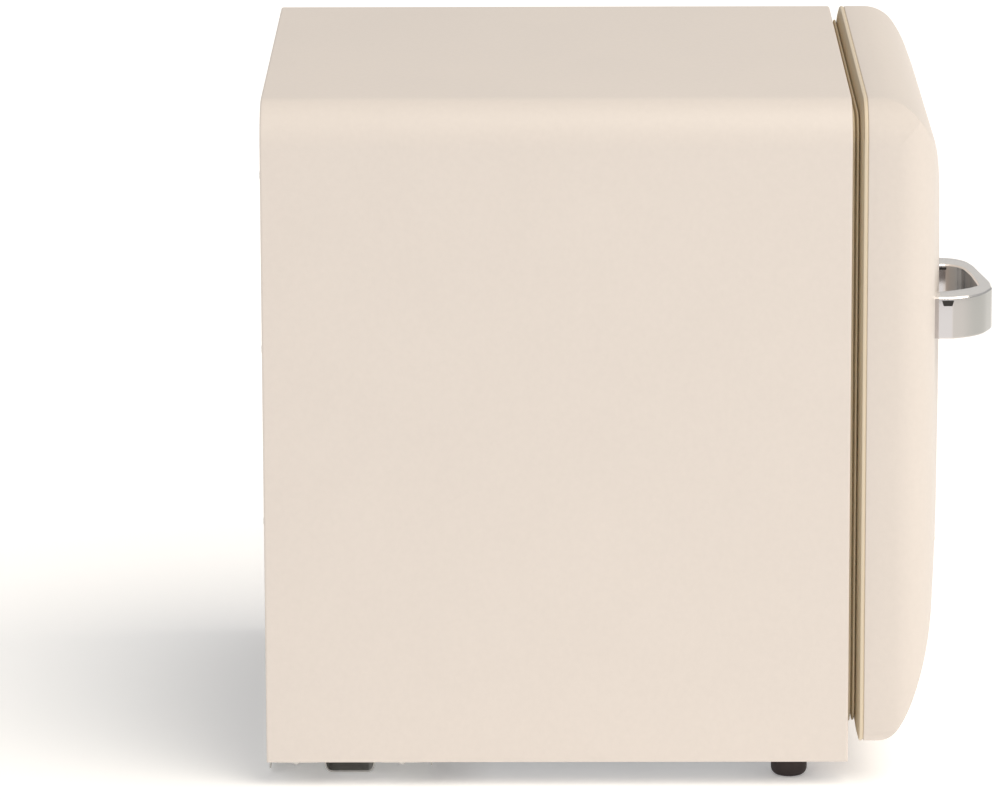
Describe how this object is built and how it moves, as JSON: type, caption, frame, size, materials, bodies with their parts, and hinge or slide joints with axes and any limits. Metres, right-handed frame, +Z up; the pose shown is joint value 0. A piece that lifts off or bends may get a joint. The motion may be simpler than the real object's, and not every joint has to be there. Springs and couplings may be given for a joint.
{
  "type": "mini fridge",
  "caption": "Compact one-door retro refrigerator with pillow-shaped door, horizontal chrome loop handle, ice box, shelf, door bins and rear compressor bay.",
  "frame": {"origin": "middle of the bounding box's footprint, on the floor", "axes": "+X to the right seen from the front, the front faces -Y, +Z up"},
  "size_m": [0.44, 0.52, 0.496],
  "materials": {
    "paint": "satin, very fine orange-peel texture",
    "door_paint": "satin, very fine orange-peel texture",
    "galvanised": "galvanised steel",
    "zinc": "zinc-plated",
    "compressor_black": "semi-gloss black enamel",
    "liner_white": "thermoformed polystyrene, soft gloss",
    "foam": "rigid foam",
    "copper": "bare drawn tube",
    "aluminium": "roll-bond sheet",
    "white_plastic": "injection moulded",
    "clear_plastic": "transparent polystyrene",
    "shelf_glass": "tempered, green-tinted edge",
    "black_plastic": "moulded",
    "rubber": "matt",
    "gasket": "soft PVC, beige",
    "magnet": "ferrite strip",
    "rim_plastic": "moulded, matches the paint",
    "chrome": "polished plating",
    "steel": "plated"
  },
  "bodies": {
    "cabinet": {"base_plate_screws": "steel", "bottom_panel": "galvanised", "capillary_tube": "copper", "compressor_base_plate": "zinc", "compressor_bolts": "steel", "compressor_grommets": "rubber", "compressor_lower_shell": "compressor_black", "compressor_mount": "zinc", "compressor_upper_shell": "compressor_black", "condenser_tube": "copper", "cord_gland": "black_plastic", "discharge_line": "copper", "evaporator": "aluminium", "evaporator_mounts": "white_plastic", "filter_drier": "copper", "foot_inserts": "steel", "front_bottom_rail": "paint", "hinge_screws": "steel", "ice_box_frame": "white_plastic", "inner_liner": "liner_white", "insulation_foam": "foam", "lower_hinge_bracket": "steel", "lower_hinge_pin": "steel", "machine_compartment_panel": "galvanised", "outer_wrapper": "paint", "process_tube": "copper", "rear_panel": "galvanised", "rear_panel_screws": "steel", "relay_cover": "black_plastic", "sensing_tube": "copper", "suction_line": "copper", "thermostat_body": "black_plastic", "thermostat_housing": "white_plastic", "tray_rails": "white_plastic", "upper_hinge_bracket": "steel", "upper_hinge_pin": "steel"},
    "door": {"door_outer_shell": "door_paint", "door_rim_frame": "rim_plastic", "door_liner": "liner_white", "door_foam": "foam", "door_gasket": "gasket", "gasket_magnet": "magnet", "handle": "chrome", "handle_screws": "steel", "upper_hinge_socket": "white_plastic", "lower_hinge_socket": "white_plastic"},
    "upper_bin": {"upper_bin": "clear_plastic"},
    "lower_bin": {"lower_bin": "clear_plastic"},
    "ice_box_flap": {"ice_box_flap": "white_plastic"},
    "drip_tray": {"drip_tray": "clear_plastic"},
    "shelf": {"glass_shelf": "shelf_glass", "shelf_front_trim": "white_plastic", "shelf_rear_trim": "white_plastic"},
    "thermostat_knob": {"thermostat_knob": "white_plastic"},
    "front_left_foot": {"front_left_foot": "rubber"},
    "front_right_foot": {"front_right_foot": "rubber"}
  },
  "joints": [
    {"name": "door_swing", "type": "hinge", "parent": "cabinet", "child": "door", "pos_m": [0.21, -0.178, 0.25], "axis": [0, 0, 1], "range_deg": [0, 120]},
    {"name": "ice_flap_swing", "type": "hinge", "parent": "cabinet", "child": "ice_box_flap", "pos_m": [0, -0.027, 0.452], "axis": [-1, 0, 0], "range_deg": [0, 85]},
    {"name": "drip_tray_slide", "type": "slide", "parent": "cabinet", "child": "drip_tray", "axis": [0, -1, 0], "range_m": [0, 0.07]},
    {"name": "shelf_slide", "type": "slide", "parent": "cabinet", "child": "shelf", "axis": [0, -1, 0], "range_m": [0, 0.04]},
    {"name": "thermostat_turn", "type": "hinge", "parent": "cabinet", "child": "thermostat_knob", "pos_m": [0.15, -0.042, 0.31], "axis": [-1, 0, 0], "range_deg": [0, 270]},
    {"name": "upper_bin_lift", "type": "slide", "parent": "door", "child": "upper_bin", "axis": [0, 0, 1], "range_m": [0, 0.025]},
    {"name": "lower_bin_lift", "type": "slide", "parent": "door", "child": "lower_bin", "axis": [0, 0, 1], "range_m": [0, 0.03]},
    {"name": "front_left_foot_adjust", "type": "slide", "parent": "cabinet", "child": "front_left_foot", "axis": [0, 0, -1], "range_m": [0, 0.008]},
    {"name": "front_right_foot_adjust", "type": "slide", "parent": "cabinet", "child": "front_right_foot", "axis": [0, 0, -1], "range_m": [0, 0.008]}
  ]
}
